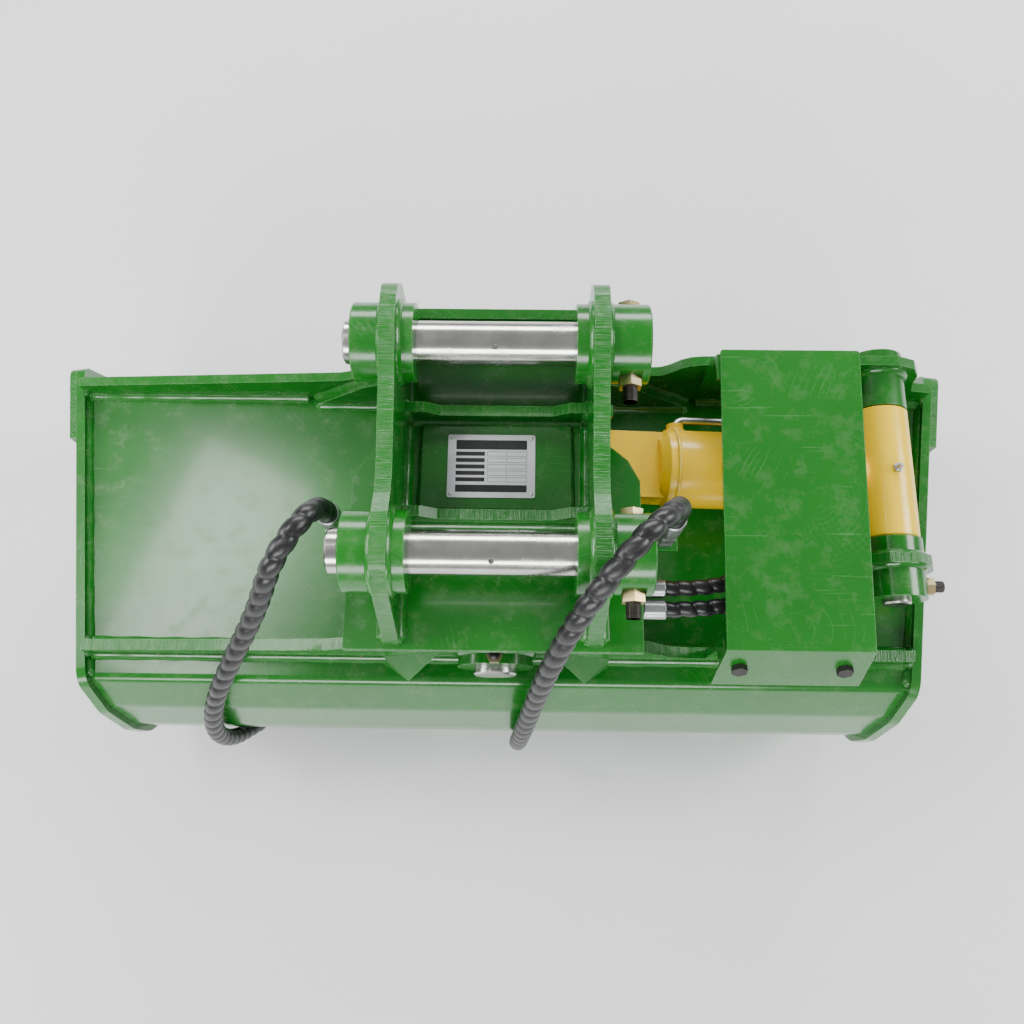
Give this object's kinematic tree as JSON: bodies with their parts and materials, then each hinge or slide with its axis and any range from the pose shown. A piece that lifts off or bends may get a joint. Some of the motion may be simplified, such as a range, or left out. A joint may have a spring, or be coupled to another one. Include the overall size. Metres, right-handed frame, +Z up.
{
  "type": "tilt bucket",
  "caption": "Wide ditching bucket that tilts sideways on a fore-and-aft pin under its hitch head, driven by one hydraulic cylinder.",
  "frame": {"origin": "on the floor, below the tilt pin and half way across the bucket", "axes": "+X across the bucket towards the cylinder's rod end, +Y towards the mouth, +Z up"},
  "size_m": [1.2656, 0.6151, 0.7427],
  "materials": {
    "green_paint": "glossy green enamel over welded steel plate",
    "yellow_paint": "glossy yellow enamel",
    "polished_pin": "ground and polished hardened steel",
    "zinc_fastener": "zinc plated",
    "plated_fitting": "zinc plated hose fittings",
    "hose_guard": "black hose in a spiral guard",
    "bronze_bush": "bronze bushes and washers",
    "aluminium_plate": "anodised aluminium",
    "chromed_rod": "hard chromed rod with a painted eye",
    "steel_inner": "machined steel"
  },
  "bodies": {
    "bucket": {"shell_plate": "green_paint", "side_plate_left": "green_paint", "side_plate_right": "green_paint", "side_cutters": "green_paint", "cutting_edge": "green_paint", "front_cross_plate": "green_paint", "front_plate_doubler": "green_paint", "rear_cross_plate": "green_paint", "rear_gussets": "green_paint", "pivot_bosses": "green_paint", "tilt_pin": "polished_pin", "keeper_bolts": "zinc_fastener", "keeper_nuts": "zinc_fastener", "thrust_washers": "bronze_bush", "cylinder_rear_lug": "green_paint", "cylinder_lug_bosses": "green_paint", "cylinder_rod_pin": "polished_pin", "cylinder_cover": "green_paint", "cover_brackets": "green_paint", "cover_bolts": "zinc_fastener", "long_hose_left": "hose_guard", "hose_coupler_left": "plated_fitting", "long_hose_right": "hose_guard", "hose_coupler_right": "plated_fitting"},
    "head": {"head_base_plate": "green_paint", "ear_left": "green_paint", "ear_right": "green_paint", "ear_bosses_left": "green_paint", "ear_bosses_right": "green_paint", "head_front_plate": "green_paint", "head_stiffeners": "green_paint", "data_panel": "green_paint", "data_plate": "aluminium_plate", "data_plate_rivets": "aluminium_plate", "upper_hitch_pin": "polished_pin", "lower_hitch_pin": "polished_pin", "hitch_pin_bolts": "zinc_fastener", "hitch_pin_nuts": "zinc_fastener", "head_webs": "green_paint", "pivot_housings": "green_paint", "pivot_bushes": "bronze_bush", "cylinder_base_pin": "polished_pin", "base_pin_rings": "zinc_fastener", "hose_brackets": "green_paint", "hose_fittings": "plated_fitting", "hose_ends": "plated_fitting", "port_plate": "green_paint", "port_fittings": "plated_fitting", "transfer_pipes": "green_paint"},
    "barrel": {"cylinder_barrel": "yellow_paint", "base_eye_bush": "bronze_bush", "cylinder_pipe": "yellow_paint", "cylinder_gland": "yellow_paint", "cylinder_unions": "plated_fitting", "short_hose_rod_side": "hose_guard", "short_hose_base_side": "hose_guard"},
    "rod": {"cylinder_piston": "steel_inner", "cylinder_rod": "chromed_rod", "rod_eye_bushes": "bronze_bush", "grease_nipple": "zinc_fastener"}
  },
  "joints": [
    {"name": "tilt", "type": "hinge", "parent": "bucket", "child": "head", "pos_m": [0, 0.03, 0.432], "axis": [0, 1, 0], "range_deg": [-20, 20], "deforming": ["long_hose_left", "long_hose_right"]},
    {"name": "barrel_swing", "type": "hinge", "parent": "head", "child": "barrel", "pos_m": [0.1, 0.084, 0.492], "axis": [0, 1, 0], "range_deg": [-24.7, 24.7], "deforming": ["short_hose_rod_side", "short_hose_base_side"]},
    {"name": "cylinder_stroke", "type": "slide", "parent": "barrel", "child": "rod", "axis": [0.9969, 0, -0.0788], "range_m": [-0.0228, 0.0228]}
  ],
  "couplings": [
    {"joint": "barrel_swing", "follows": "tilt", "ratio": -1.2241},
    {"joint": "cylinder_stroke", "follows": "tilt", "m_per_rad": -0.064746}
  ]
}
